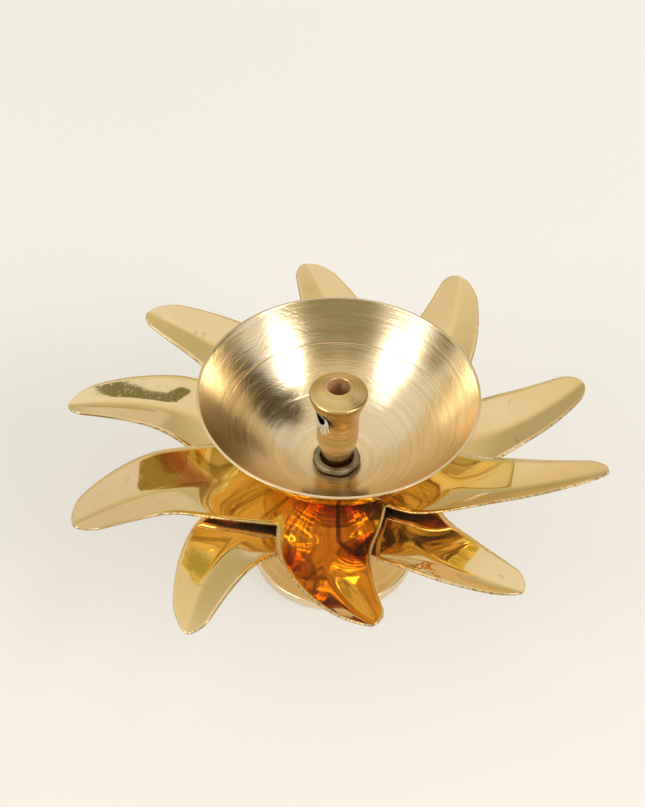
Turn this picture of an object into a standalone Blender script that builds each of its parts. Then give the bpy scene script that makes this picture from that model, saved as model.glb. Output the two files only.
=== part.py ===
"""Brass diya oil lamp: a turned bowl with a wick holder over ten petals on a turned foot.

Two stamped plates of five petals, the bowl and its locknut are stacked on the threaded
spigot of the wick holder, which screws into the stem. A pan-head screw from below holds
the foot to the stem. All lengths are in metres, +Z is up, and the lamp stands on Z = 0
with its axis on the Z axis.
"""

import math

import bmesh
import bpy
from mathutils import Matrix, Vector

MM = 0.001

# Stack along the axis, from the table up
SEAT_GAP = 0.3 * MM
FOOT_TOP = 7.8 * MM
STEM_TOP = 25.8 * MM
SHEET_THICKNESS = 0.5 * MM
SPACER_THICKNESS = 0.9 * MM
GASKET_THICKNESS = 0.8 * MM
SPACER_RADIUS = 7.4 * MM
GASKET_RADIUS = 6.6 * MM
EDGE_CHAMFER = 0.1 * MM
LOWER_SHEET_TOP = STEM_TOP + SEAT_GAP + SHEET_THICKNESS
SPACER_BOTTOM = LOWER_SHEET_TOP + SEAT_GAP
UPPER_SHEET_TOP = SPACER_BOTTOM + SPACER_THICKNESS + SEAT_GAP + SHEET_THICKNESS
GASKET_BOTTOM = UPPER_SHEET_TOP + SEAT_GAP
BOWL_BOTTOM = GASKET_BOTTOM + GASKET_THICKNESS + SEAT_GAP

# Thread and the holes round it
THREAD_RADIUS = 3.0 * MM
CLEARANCE_RADIUS = 3.4 * MM

# Bowl
RIM_RADIUS = 31.0 * MM
BOWL_WALL = 0.6 * MM
BOWL_DEPTH = 21.0 * MM
BOWL_FLOOR = BOWL_BOTTOM + BOWL_WALL
BOWL_SEAT_RADIUS = 4.0 * MM
BOWL_INNER_RIM = RIM_RADIUS - BOWL_WALL
RIM_CHAMFER = 0.1 * MM

# Locknut in the bowl
NUT_FLATS = 10.0 * MM
NUT_CORNER_RADIUS = 5.3 * MM
NUT_THICKNESS = 1.3 * MM
NUT_HOLE_RADIUS = 3.5 * MM
NUT_CHAMFER = 0.4 * MM
NUT_TURN = math.radians(20)

# Wick holder, measured up from the neck where it meets the locknut
NECK_HEIGHT = 32.3 * MM
HOLDER_LENGTH = 21.5 * MM
SPIGOT_LENGTH = 12.7 * MM
WICK_HOLE_RADIUS = 2.5 * MM
WICK_HOLE_DEPTH = 18.8 * MM
OIL_INLET_RADIUS = 2.0 * MM
OIL_INLET_HEIGHT = 46.8 * MM
OIL_INLET_ANGLE = math.radians(215)
OIL_DRILL_REACH = 8.0 * MM
OIL_DRILL_SIDES = 16

# Foot and the screw under it
FOOT_RADIUS = 18.4 * MM
FOOT_RECESS_RADIUS = 15.4 * MM
FOOT_CEILING = 4.4 * MM
WASHER_THICKNESS = 1.0 * MM
WASHER_RADIUS = 6.0 * MM
WASHER_BOTTOM = FOOT_CEILING - SEAT_GAP - WASHER_THICKNESS
SCREW_HEAD_RADIUS = 5.0 * MM
SCREW_HEAD_HEIGHT = 2.2 * MM
SCREW_TIP = 14.0 * MM
SCREW_SLOT_WIDTH = 1.2 * MM
SCREW_SLOT_DEPTH = 1.0 * MM

# Petals: angles are in degrees from a petal's own root line, anticlockwise from above
PETALS_PER_PLATE = 5
PETAL_TIP_RADIUS = 60.0 * MM
HUB_RADIUS = 8.0 * MM
DISH_SLOPE = 0.175
HALF_SECTOR = 180.0 / PETALS_PER_PLATE
CONVEX_TIP_ANGLE = 0.5
CONVEX_POWER = 0.9
CONCAVE_TIP_ANGLE = 6.5
CONCAVE_POWER = 5.0
TIP_ROUNDING = 4.5 * MM
CREASE_SLOPE = 0.34
CREASE_SOFTNESS = 0.35 * MM
CREASE_START = 0.1
CREASE_RAMP = 0.45
TURN_RAMP = 0.35
STIFF_ROOT = 0.12
LIFT_POWER = 1.3
CURL_POWER = 3
NOTCH_RADIUS = 21.0 * MM
UPPER_ROOT_ANGLE = -13.3
LOWER_ROOT_ANGLE = UPPER_ROOT_ANGLE + HALF_SECTOR

# Each petal was set by hand: sideways turn in degrees, extra reach, lift and tip curl in
# millimetres, and twist as a slope. The last number is the radius, in millimetres, of the
# notch between this petal and the next one anticlockwise.
UPPER_PETALS = (
    (0.0, 0.0, 5.3, -2.2, -0.34, 21),
    (0.0, 0.0, -1.6, 2.3, 0.08, 21),
    (4.0, 0.0, -5.2, 4.0, -0.10, 21),
    (3.5, 3.4, 2.2, 1.5, -0.08, 24),
    (-0.5, 0.5, 5.5, 2.8, 0.08, 17),
)
LOWER_PETALS = (
    (-1.5, 1.6, -3.3, -0.5, -0.16, 21),
    (0.0, 0.0, -4.0, 3.7, 0.00, 21),
    (0.0, 1.5, 1.0, -2.0, 0.00, 21),
    (-2.3, 0.0, -1.7, -2.3, 0.08, 21),
    (0.5, -3.2, 1.2, -2.1, 0.03, 21),
)

# Fineness of the meshes
SHARP_ANGLE = math.radians(35)
MERGE_DISTANCE = 1e-7
ROW_SPACING_POWER = 1.3
CELLS_ACROSS_PETAL = 6
ROWS_ALONG_PETAL = 10
ROWS_ROUND_TIP = 4
BOWL_STEPS = 48
BOWL_POINTS = 9
FOOT_STEPS = 40
SMALL_STEPS = 32


def clear_scene():
    """Remove what the start-up scene holds."""
    for item in list(bpy.data.objects):
        bpy.data.objects.remove(item, do_unlink=True)


def metal(name, colour, roughness, metallic=1.0):
    """A Principled material with one colour, roughness and metallic value."""
    material = bpy.data.materials.new(name)
    material.use_nodes = True
    shader = material.node_tree.nodes["Principled BSDF"]
    shader.inputs["Base Color"].default_value = (*colour, 1.0)
    shader.inputs["Roughness"].default_value = roughness
    shader.inputs["Metallic"].default_value = metallic
    material.diffuse_color = (*colour, 1.0)
    return material


def add_object(name, bm, material, origin=(0.0, 0.0, 0.0)):
    """Turn a bmesh into a named object whose origin is the given world point."""
    bm.transform(Matrix.Translation(-Vector(origin)))
    mesh = bpy.data.meshes.new(name)
    bm.to_mesh(mesh)
    bm.free()
    mesh.shade_smooth()
    mesh.set_sharp_from_angle(angle=SHARP_ANGLE)
    mesh.materials.append(material)
    item = bpy.data.objects.new(name, mesh)
    item.location = origin
    bpy.context.scene.collection.objects.link(item)
    return item


def turned(profile, steps):
    """Spin a closed loop of (radius, height) points round the Z axis."""
    bm = bmesh.new()
    verts = [bm.verts.new((radius, 0.0, height)) for radius, height in profile]
    edges = [bm.edges.new((a, b)) for a, b in zip(verts, verts[1:] + verts[:1])]
    bmesh.ops.spin(
        bm,
        geom=verts + edges,
        axis=(0, 0, 1),
        cent=(0, 0, 0),
        angle=math.tau,
        steps=steps,
        use_merge=True,
    )
    bmesh.ops.remove_doubles(bm, verts=bm.verts, dist=MERGE_DISTANCE)
    bmesh.ops.recalc_face_normals(bm, faces=bm.faces)
    return bm


def ring(outer, bottom, thickness):
    """A flat washer on the thread, with its outer corners chamfered."""
    inner = CLEARANCE_RADIUS
    top = bottom + thickness
    return turned(
        [
            (inner, bottom),
            (outer - EDGE_CHAMFER, bottom),
            (outer, bottom + EDGE_CHAMFER),
            (outer, top - EDGE_CHAMFER),
            (outer - EDGE_CHAMFER, top),
            (inner, top),
        ],
        SMALL_STEPS,
    )


def smoothstep(value):
    """Ease from 0 to 1 while the value goes from 0 to 1."""
    value = min(max(value, 0.0), 1.0)
    return value * value * (3.0 - 2.0 * value)


def bowl_height(radius):
    """Height of the inside of the bowl at a radius."""
    part = max(0.0, (radius - BOWL_SEAT_RADIUS) / (BOWL_INNER_RIM - BOWL_SEAT_RADIUS))
    return BOWL_FLOOR + BOWL_DEPTH * part * part


def bowl_profile():
    """Closed profile of the bowl: inside from hole to rim, then outside back down."""
    run = BOWL_INNER_RIM - BOWL_SEAT_RADIUS
    radii = [BOWL_SEAT_RADIUS + run * i / BOWL_POINTS for i in range(BOWL_POINTS + 1)]
    inside = [(CLEARANCE_RADIUS, BOWL_FLOOR)]
    inside += [(radius, bowl_height(radius)) for radius in radii]
    outside = []
    for radius in radii:
        slope = 2.0 * BOWL_DEPTH * (radius - BOWL_SEAT_RADIUS) / run**2
        normal = math.hypot(1.0, slope)
        outer_radius = radius + BOWL_WALL * slope / normal
        outside.append((outer_radius, bowl_height(radius) - BOWL_WALL / normal))
    outside.append((outside[-1][0] + RIM_CHAMFER, inside[-1][1] - RIM_CHAMFER))
    outside.append((CLEARANCE_RADIUS, BOWL_BOTTOM))
    outside.sort(key=lambda point: -point[0])
    return inside + outside


def build_bowl(material):
    """Turned bowl, open at the top, with the bolt hole in its floor."""
    add_object("oil_bowl", turned(bowl_profile(), BOWL_STEPS), material)


def apply_boolean(item, cutter, operation):
    """Give an object a Boolean with a hidden cutter."""
    cutter.hide_render = True
    cutter.display_type = "WIRE"
    cut = item.modifiers.new(operation.lower(), "BOOLEAN")
    cut.object = cutter
    cut.operation = operation
    cut.solver = "EXACT"


def build_locknut(material):
    """Thin hexagonal locknut on the floor of the bowl: a turned blank cut to six flats."""
    bottom = BOWL_FLOOR + SEAT_GAP
    top = bottom + NUT_THICKNESS
    shoulder = NUT_CORNER_RADIUS - NUT_CHAMFER
    prism_radius = NUT_FLATS / 2 / math.cos(math.pi / 6)
    blank = [
        (NUT_HOLE_RADIUS, bottom),
        (shoulder, bottom),
        (NUT_CORNER_RADIUS, bottom + NUT_CHAMFER / 2),
        (NUT_CORNER_RADIUS, top - NUT_CHAMFER),
        (shoulder, top),
        (NUT_HOLE_RADIUS + NUT_CHAMFER, top),
        (NUT_HOLE_RADIUS, top - NUT_CHAMFER),
    ]
    nut = add_object("bowl_locknut", turned(blank, SMALL_STEPS), material)
    place = Matrix.Translation((0, 0, (bottom + top) / 2)) @ Matrix.Rotation(NUT_TURN, 4, "Z")
    prism = bmesh.new()
    bmesh.ops.create_cone(
        prism,
        cap_ends=True,
        segments=6,
        radius1=prism_radius,
        radius2=prism_radius,
        depth=4 * NUT_THICKNESS,
        matrix=place,
    )
    apply_boolean(nut, add_object("nut_flats_guide", prism, material), "INTERSECT")


def build_wick_holder(material):
    """Turned wick holder: coned top, flange, body, neck and threaded spigot."""
    neck = NECK_HEIGHT
    top = NECK_HEIGHT + HOLDER_LENGTH
    tip = NECK_HEIGHT - SPIGOT_LENGTH
    hole_bottom = top - WICK_HOLE_DEPTH
    profile = [
        (0.0, tip),
        (2.4 * MM, tip),
        (THREAD_RADIUS, tip + 0.6 * MM),
        (THREAD_RADIUS, neck - 0.4 * MM),
        (3.1 * MM, neck),
        (4.3 * MM, neck + 4.6 * MM),
        (4.65 * MM, neck + 6.0 * MM),
        (4.65 * MM, neck + 13.0 * MM),
        (4.95 * MM, neck + 14.6 * MM),
        (5.6 * MM, neck + 16.6 * MM),
        (6.25 * MM, neck + 18.4 * MM),
        (6.45 * MM, neck + 19.0 * MM),
        (6.45 * MM, neck + 19.4 * MM),
        (6.2 * MM, neck + 19.7 * MM),
        (WICK_HOLE_RADIUS + 0.25 * MM, top),
        (WICK_HOLE_RADIUS, top - 0.25 * MM),
        (WICK_HOLE_RADIUS, hole_bottom + 1.4 * MM),
        (0.0, hole_bottom),
    ]
    holder = add_object("wick_holder", turned(profile, SMALL_STEPS), material, (0, 0, neck))
    drill = bmesh.new()
    centre = Vector((math.cos(OIL_INLET_ANGLE), math.sin(OIL_INLET_ANGLE), 0)) * (OIL_DRILL_REACH / 2)
    centre.z = OIL_INLET_HEIGHT
    turn = Matrix.Rotation(OIL_INLET_ANGLE, 4, "Z") @ Matrix.Rotation(math.pi / 2, 4, "Y")
    bmesh.ops.create_cone(
        drill,
        cap_ends=True,
        segments=OIL_DRILL_SIDES,
        radius1=OIL_INLET_RADIUS,
        radius2=OIL_INLET_RADIUS,
        depth=OIL_DRILL_REACH,
        matrix=Matrix.Translation(centre) @ turn,
    )
    apply_boolean(holder, add_object("oil_inlet_drill", drill, material), "DIFFERENCE")


def build_foot(material):
    """Turned foot: upright lip, shallow cone and raised hub, hollow beneath."""
    profile = [
        (CLEARANCE_RADIUS, FOOT_TOP),
        (CLEARANCE_RADIUS, FOOT_CEILING),
        (7.6 * MM, FOOT_CEILING - 0.2 * MM),
        (13.6 * MM, 2.0 * MM),
        (FOOT_RECESS_RADIUS - 0.3 * MM, 0.8 * MM),
        (FOOT_RECESS_RADIUS, 0.0),
        (FOOT_RADIUS - 0.4 * MM, 0.0),
        (FOOT_RADIUS, 0.4 * MM),
        (FOOT_RADIUS, 2.1 * MM),
        (FOOT_RADIUS - 0.15 * MM, 2.45 * MM),
        (FOOT_RADIUS - 0.5 * MM, 2.6 * MM),
        (13.0 * MM, 4.1 * MM),
        (9.6 * MM, 5.4 * MM),
        (8.7 * MM, 6.2 * MM),
        (8.3 * MM, 7.3 * MM),
        (7.8 * MM, FOOT_TOP),
    ]
    add_object("foot", turned(profile, FOOT_STEPS), material)


def build_stem(material):
    """Turned stem, waisted, with a threaded bore from end to end."""
    bottom = FOOT_TOP + SEAT_GAP
    profile = [
        (CLEARANCE_RADIUS, STEM_TOP),
        (CLEARANCE_RADIUS, bottom),
        (7.2 * MM, bottom),
        (7.4 * MM, bottom + 0.8 * MM),
        (6.4 * MM, bottom + 1.8 * MM),
        (5.4 * MM, bottom + 4.0 * MM),
        (5.0 * MM, bottom + 8.0 * MM),
        (5.2 * MM, bottom + 12.0 * MM),
        (6.2 * MM, bottom + 15.2 * MM),
        (7.6 * MM, bottom + 16.6 * MM),
        (7.8 * MM, bottom + 17.4 * MM),
        (7.5 * MM, STEM_TOP),
    ]
    add_object("stem", turned(profile, SMALL_STEPS), material)


def build_foot_screw(material):
    """Pan-head screw from below the foot into the stem, with a straight slot."""
    head_top = WASHER_BOTTOM - SEAT_GAP
    head_bottom = head_top - SCREW_HEAD_HEIGHT
    profile = [
        (0.0, SCREW_TIP),
        (2.3 * MM, SCREW_TIP),
        (THREAD_RADIUS, SCREW_TIP - 0.7 * MM),
        (THREAD_RADIUS, head_top),
        (SCREW_HEAD_RADIUS, head_top),
        (SCREW_HEAD_RADIUS, head_top - 1.0 * MM),
        (SCREW_HEAD_RADIUS - 0.6 * MM, head_bottom + 0.4 * MM),
        (SCREW_HEAD_RADIUS - 1.8 * MM, head_bottom),
        (0.0, head_bottom),
    ]
    screw = add_object("foot_screw", turned(profile, SMALL_STEPS), material)
    slot = bmesh.new()
    size = Matrix.Diagonal((3 * SCREW_HEAD_RADIUS, SCREW_SLOT_WIDTH, 2 * SCREW_SLOT_DEPTH, 1))
    bmesh.ops.create_cube(slot, size=1.0, matrix=Matrix.Translation((0, 0, head_bottom)) @ size)
    apply_boolean(screw, add_object("screw_slot_cutter", slot, material), "DIFFERENCE")


def petal_edges(along):
    """Angles in degrees of a petal's middle and of half its width, at 0 (root) to 1 (tip)."""
    convex = -HALF_SECTOR + (CONVEX_TIP_ANGLE + HALF_SECTOR) * along**CONVEX_POWER
    concave = CONCAVE_TIP_ANGLE + (HALF_SECTOR - CONCAVE_TIP_ANGLE) * (1.0 - along) ** CONCAVE_POWER
    return (convex + concave) / 2, (concave - convex) / 2


def petal_point(along, across, root_angle, bend, notches, sheet_top):
    """A point on the upper face of one petal.

    along runs from 0 at the root to 1 at the tip, and across from -1 at the convex edge
    to 1 at the concave edge. notches are the notch radii at the two edges.
    """
    turn, reach, lift, curl, twist = bend
    root_radius = (notches[0] * (1 - across) + notches[1] * (1 + across)) / 2
    radius = root_radius + (PETAL_TIP_RADIUS - root_radius) * along
    middle, half = petal_edges(along)
    past = max(0.0, (radius - PETAL_TIP_RADIUS + TIP_ROUNDING) / TIP_ROUNDING)
    half *= math.sqrt(max(0.0, 1.0 - past * past))
    swept = root_angle + middle + half * across
    angle = math.radians(swept + turn * smoothstep(along / TURN_RAMP))
    offset = radius * math.radians(half) * across
    free = max(0.0, (along - STIFF_ROOT) / (1.0 - STIFF_ROOT))
    crease = CREASE_SLOPE * smoothstep((along - CREASE_START) / CREASE_RAMP)
    height = sheet_top + DISH_SLOPE * (radius - HUB_RADIUS)
    height += lift * MM * free**LIFT_POWER + curl * MM * free**CURL_POWER
    height += crease * (math.hypot(offset, CREASE_SOFTNESS) - CREASE_SOFTNESS)
    height += twist * free * offset
    radius += reach * MM * along
    return Vector((radius * math.cos(angle), radius * math.sin(angle), height))


def petal_rows():
    """Places of the rows along a petal, closer together at the root and round the tip."""
    tip_start = 1.0 - TIP_ROUNDING / (PETAL_TIP_RADIUS - NOTCH_RADIUS)
    places = [i / ROWS_ALONG_PETAL for i in range(1, ROWS_ALONG_PETAL + 1)]
    rows = [tip_start * place**ROW_SPACING_POWER for place in places]
    for i in range(1, ROWS_ROUND_TIP + 1):
        rows.append(tip_start + (1.0 - tip_start) * math.sin(math.pi / 2 * i / ROWS_ROUND_TIP))
    return rows


def hub_rings(bm, outer_ring, sheet_top):
    """Flat hub with its bolt hole, joined to the ring of points at the petals' roots."""
    rings = []
    for radius in (CLEARANCE_RADIUS, HUB_RADIUS):
        scales = [radius / math.hypot(point.x, point.y) for point in outer_ring]
        flat = [(p.x * scale, p.y * scale, sheet_top) for p, scale in zip(outer_ring, scales)]
        rings.append([bm.verts.new(point) for point in flat])
    between = [inner.co.lerp(outer, 0.5) for inner, outer in zip(rings[1], outer_ring)]
    rings.append([bm.verts.new(point) for point in between])
    rings.append([bm.verts.new(point) for point in outer_ring])
    count = len(outer_ring)
    for inner, outer in zip(rings, rings[1:]):
        for m in range(count):
            n = (m + 1) % count
            bm.faces.new((inner[m], outer[m], outer[n], inner[n]))
    return rings[-1]


def petal_faces(bm, root, places, point_at):
    """Rows of faces from a petal's root out to its rounded tip."""
    last = root
    for along in petal_rows()[:-1]:
        row = [bm.verts.new(point_at(along, place)) for place in places]
        for j in range(CELLS_ACROSS_PETAL):
            bm.faces.new((last[j], row[j], row[j + 1], last[j + 1]))
        last = row
    tip = bm.verts.new(point_at(1, 0))
    for j in range(CELLS_ACROSS_PETAL):
        bm.faces.new((last[j], tip, last[j + 1]))


def build_petal_plate(name, petals, first_angle, sheet_top, material):
    """One stamped plate of five petals round a hub, given its thickness by Solidify."""
    places = [2 * j / CELLS_ACROSS_PETAL - 1 for j in range(CELLS_ACROSS_PETAL + 1)]

    def shape(k):
        root_angle = first_angle + 2 * HALF_SECTOR * k
        notches = (petals[k - 1][5] * MM, petals[k][5] * MM)
        bend = petals[k][:5]
        return lambda along, place: petal_point(along, place, root_angle, bend, notches, sheet_top)

    shapes = [shape(k) for k in range(PETALS_PER_PLATE)]
    bm = bmesh.new()
    outer_ring = [point_at(0, place) for point_at in shapes for place in places[:-1]]
    roots = hub_rings(bm, outer_ring, sheet_top)
    for k, point_at in enumerate(shapes):
        start = k * CELLS_ACROSS_PETAL
        root = [roots[(start + j) % len(roots)] for j in range(len(places))]
        petal_faces(bm, root, places, point_at)
    plate = add_object(name, bm, material, (0, 0, sheet_top))
    thicken = plate.modifiers.new("thickness", "SOLIDIFY")
    thicken.thickness = SHEET_THICKNESS
    thicken.offset = -1.0


def main():
    """Build every piece of the lamp."""
    clear_scene()
    polished = metal("polished_brass", (0.89, 0.72, 0.38), 0.08)
    brushed = metal("brushed_brass", (0.86, 0.74, 0.48), 0.28)
    steel = metal("aged_steel", (0.32, 0.31, 0.29), 0.45)
    rubber = metal("rubber", (0.22, 0.09, 0.05), 0.80, metallic=0.0)

    build_foot(brushed)
    add_object("foot_washer", ring(WASHER_RADIUS, WASHER_BOTTOM, WASHER_THICKNESS), steel)
    build_foot_screw(steel)
    build_stem(brushed)
    build_petal_plate("lower_petal_plate", LOWER_PETALS, LOWER_ROOT_ANGLE, LOWER_SHEET_TOP, polished)
    add_object("plate_spacer", ring(SPACER_RADIUS, SPACER_BOTTOM, SPACER_THICKNESS), brushed)
    build_petal_plate("upper_petal_plate", UPPER_PETALS, UPPER_ROOT_ANGLE, UPPER_SHEET_TOP, polished)
    add_object("bowl_gasket", ring(GASKET_RADIUS, GASKET_BOTTOM, GASKET_THICKNESS), rubber)
    build_bowl(brushed)
    build_locknut(steel)
    build_wick_holder(brushed)


main()
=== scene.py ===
"""Looks of a brass diya oil lamp: fine meshes, procedural metals, a pale floor and soft light.

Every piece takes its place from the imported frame. Lengths are in metres, +Z is up, and the
lamp's axis is the Z axis. The petals repeat the design's own formula on a finer mesh.
"""

import math
import random

import bmesh
import bpy
from mathutils import Matrix, Quaternion, Vector, noise


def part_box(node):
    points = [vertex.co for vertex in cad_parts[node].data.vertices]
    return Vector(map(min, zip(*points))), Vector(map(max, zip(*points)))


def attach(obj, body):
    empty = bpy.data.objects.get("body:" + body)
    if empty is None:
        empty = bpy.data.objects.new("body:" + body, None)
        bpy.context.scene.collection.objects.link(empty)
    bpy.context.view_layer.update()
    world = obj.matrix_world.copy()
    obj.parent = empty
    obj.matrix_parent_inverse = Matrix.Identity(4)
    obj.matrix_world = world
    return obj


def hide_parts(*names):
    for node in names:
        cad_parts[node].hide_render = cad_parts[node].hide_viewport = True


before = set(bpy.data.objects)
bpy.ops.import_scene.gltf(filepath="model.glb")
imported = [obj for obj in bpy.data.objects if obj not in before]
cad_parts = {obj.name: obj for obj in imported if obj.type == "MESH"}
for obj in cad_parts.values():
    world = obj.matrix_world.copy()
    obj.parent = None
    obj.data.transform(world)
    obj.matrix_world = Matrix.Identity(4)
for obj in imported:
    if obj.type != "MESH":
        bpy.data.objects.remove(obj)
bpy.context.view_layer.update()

MM = 0.001

# Camera
ELEVATION = math.radians(45.03)
ROLL = math.radians(1.85)
AIM_RIGHT = math.radians(0.368)
AIM_UP = math.radians(0.230)
CAMERA_DISTANCE = 0.55
LENS = 113.1
SENSOR = 36.0
CLIP_START = 0.01

# Petals and bowl mirror each other many times over
LIGHT_BOUNCES = 16

# Fineness of the meshes
STEPS_ROUND = 192
CORNER_POINTS = 6
BOWL_POINTS = 72
CELLS_ACROSS_PETAL = 16
ROWS_ALONG_PETAL = 96
ROWS_ROUND_TIP = 12
DRILL_SIDES = 40
SHARP_ANGLE = math.radians(38)
ON_AXIS = 1e-7
# Longest reach of a rounded corner, as a share of the edge beside it
LONGEST_REACH = 0.48

# Bolt hole through the pieces of the stack
CLEARANCE_RADIUS = 3.4 * MM

# Sheet of the petal plates
SHEET_THICKNESS = 0.5 * MM
EDGE_RAGGEDNESS = 0.05 * MM
# Grain of the ragged edge per metre, and how fast it fades inwards and near the root and tip
FINE_GRAIN = 2600
COARSE_GRAIN = 900
COARSE_SHARE = 0.6
EDGE_FADE = 8
ROOT_FADE = 12
TIP_FADE = 9

# Petals, as in the design: see petal_point
PETALS_PER_PLATE = 5
PETAL_TIP_RADIUS = 60.0 * MM
HUB_RADIUS = 8.0 * MM
DISH_SLOPE = 0.175
HALF_SECTOR = 180.0 / PETALS_PER_PLATE
CONVEX_TIP_ANGLE = 0.5
CONVEX_POWER = 0.9
CONCAVE_TIP_ANGLE = 6.5
CONCAVE_POWER = 5.0
TIP_ROUNDING = 4.5 * MM
CREASE_SLOPE = 0.34
CREASE_SOFTNESS = 0.35 * MM
CREASE_START = 0.1
CREASE_RAMP = 0.45
TURN_RAMP = 0.35
STIFF_ROOT = 0.12
LIFT_POWER = 1.3
CURL_POWER = 3
NOTCH_RADIUS = 21.0 * MM
ROW_SPACING_POWER = 1.1
# Rings of points from the flat hub (0) to the petals' roots (1)
HUB_BLEND = (0.25, 0.5, 0.75)
UPPER_ROOT_ANGLE = -13.3
LOWER_ROOT_ANGLE = UPPER_ROOT_ANGLE + HALF_SECTOR

# Sideways turn in degrees, extra reach, lift and tip curl in millimetres, twist as a slope,
# and the radius in millimetres of the notch to the next petal anticlockwise
UPPER_PETALS = (
    (0.0, 0.0, 5.3, -2.2, -0.34, 21),
    (0.0, 0.0, -1.6, 2.3, 0.08, 21),
    (4.0, 0.0, -5.2, 4.0, -0.10, 21),
    (3.5, 3.4, 2.2, 1.5, -0.08, 24),
    (-0.5, 0.5, 5.5, 2.8, 0.08, 17),
)
LOWER_PETALS = (
    (-1.5, 1.6, -3.3, -0.5, -0.16, 21),
    (0.0, 0.0, -4.0, 3.7, 0.00, 21),
    (0.0, 1.5, 1.0, -2.0, 0.00, 21),
    (-2.3, 0.0, -1.7, -2.3, 0.08, 21),
    (0.5, -3.2, 1.2, -2.1, 0.03, 21),
)

# Bowl
RIM_RADIUS = 31.0 * MM
BOWL_WALL = 0.6 * MM
BOWL_SEAT_RADIUS = 4.0 * MM
SCRIBED_RING_RADIUS = 24.5 * MM
SCRIBED_RING_DEPTH = 0.02 * MM
SCRIBED_RING_HALF_WIDTH = 0.05 * MM
# Points across the scribed ring, in half widths from its middle
SCRIBED_RING_POINTS = (-2.5, -1.0, 0.0, 1.0, 2.5)
RIM_RISE = 0.15 * MM
RIM_INNER_ROUNDING = 0.15 * MM
RIM_OUTER_ROUNDING = 0.2 * MM
# A face of the bowl is outside where its normal's height is below this
OUTSIDE_NORMAL = -0.05

# Threads of the spigot and of the foot screw, and the parts of them left plain
THREAD_PITCH = 1.0 * MM
THREAD_CREST = 2.95 * MM
THREAD_ROOT = 2.55 * MM
THREAD_ROUNDING = 0.05 * MM
THREAD_START = 0.8 * MM
SPIGOT_PLAIN = 3 * MM
SHANK_PLAIN = 2 * MM

# Foot screw: the head's upper side, and the box that cuts the slot, centred on the head's face
SCREW_HEAD_TOP = 2.8 * MM
SLOT_SIZE = (15 * MM, 1.2 * MM, 2 * MM)

# Locknut
NUT_SIDES = 6
NUT_HALF_FLATS = 5.0 * MM
NUT_HALF_CORNERS = 5.3 * MM
NUT_HOLE_RADIUS = 3.5 * MM
NUT_CHAMFER = 0.4 * MM
NUT_ANGLE = math.radians(20)
NUT_CUTTER_DEPTH = 8 * MM

# Washer, spacer and gasket
WASHER_RADIUS = 6.0 * MM
SPACER_RADIUS = 7.4 * MM
GASKET_RADIUS = 6.6 * MM
RING_ROUNDING = 0.12 * MM

# Wick holder, and its oil inlet
INLET_RADIUS = 2.0 * MM
INLET_HEIGHT = 14.5 * MM
INLET_ANGLE = math.radians(215)
INLET_LENGTH = 8 * MM
SPIGOT_LENGTH = 12.7 * MM
WICK_HOLE_RADIUS = 2.5 * MM
WICK_HOLE_DEPTH = 18.8 * MM
WICK_HOLE_DRILL_POINT = 1.4 * MM
# Outside of the wick holder: height above its neck and radius, in mm
HOLDER_STEPS = (
    (0, 3.1),
    (4.6, 4.3),
    (6.0, 4.65),
    (13.0, 4.65),
    (14.6, 4.95),
    (16.6, 5.6),
    (18.4, 6.25),
)
# Painted shade, near black, inside the oil inlet and round its mouth: its middle, and the ragged
# edge that it fades over
INLET_SHADE_REACH = 4.0 * MM
INLET_SHADE_HEIGHT = 14.7 * MM
INLET_SHADE_ANGLE = math.radians(219)
INLET_SHADE_INNER = 2.6 * MM
INLET_SHADE_OUTER = 3.4 * MM
INLET_SHADE_RAGGEDNESS = 0.5 * MM
# Round the inlet from level: where the burr is longest
BURR_DIRECTION = math.radians(310)
BURR_SLIVERS = 48
BURR_SEED = 11
# Where the slivers stand: unevenness round the inlet, out from its edge, and sunk in the wall
BURR_SCATTER = 0.7
BURR_OUTSET = 0.02 * MM
BURR_SINK = 0.05 * MM
# How the slivers lean along the wall, and their lengths and widths in mm
BURR_LEAN = 0.6
BURR_LEAN_SPREAD = 0.5
SLIVER_SHORTEST = 0.15
SLIVER_SPREAD = 0.2
SLIVER_LONG = (0.6, 2.4)
SLIVER_WIDTHS = (0.4, 1.0)
SLIVER_HALF_THICKNESS = 0.06 * MM
# Unevenness of a sliver's width, and its grain per metre
SLIVER_UNEVEN = 0.5
SLIVER_GRAIN = 3000
# Stages along a sliver, how far it stands out at its root and its tip, and how much it narrows
SLIVER_STAGES = (0.0, 0.4, 0.75, 1.0)
SLIVER_OUT_ROOT = 0.08
SLIVER_OUT_TIP = 0.25
SLIVER_TAPER = 0.8
# Corners of a sliver's section, as steps sideways and outwards
SLIVER_CORNERS = ((-1, -1), (1, -1), (1, 1), (-1, 1))

# Centres of the polishing pad's arcs in the bowl
PAD_CENTRES = ((5.0 * MM, 9.0 * MM, 0.0), (-10.0 * MM, 3.0 * MM, 0.0))

# Painted dark patches and a painted pale spot outside the bowl, which the petals show as dark and
# pale reflections: centre, inner and outer radius in mm, tone
PAINTED_REFLECTION_PATCHES = (
    ((-26.5, 1.5, 45.0), 2.5, 6.5, (0.34, 0.09, 0.035)),
    ((-28.5, -5.0, 48.0), 3.0, 7.0, (0.26, 0.19, 0.03)),
    ((-20.0, -21.5, 48.0), 1.5, 4.5, (0.40, 0.34, 0.05)),
    ((28.0, -2.5, 47.0), 5.0, 11.0, (0.90, 0.84, 0.56)),
)
REFLECTION_PATCH_RAGGEDNESS = 1.2 * MM

# Turned brass: depth of the fine grooves, of the deep and broad ones as multiples of it, and
# how far its roughness swings
GROOVE = 0.008 * MM
FOOT_GROOVE = 0.006 * MM
DEEP_RATIO = 3
BROAD_RATIO = 6
ROUGHNESS_SWING = (0.75, 1.3)

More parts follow.
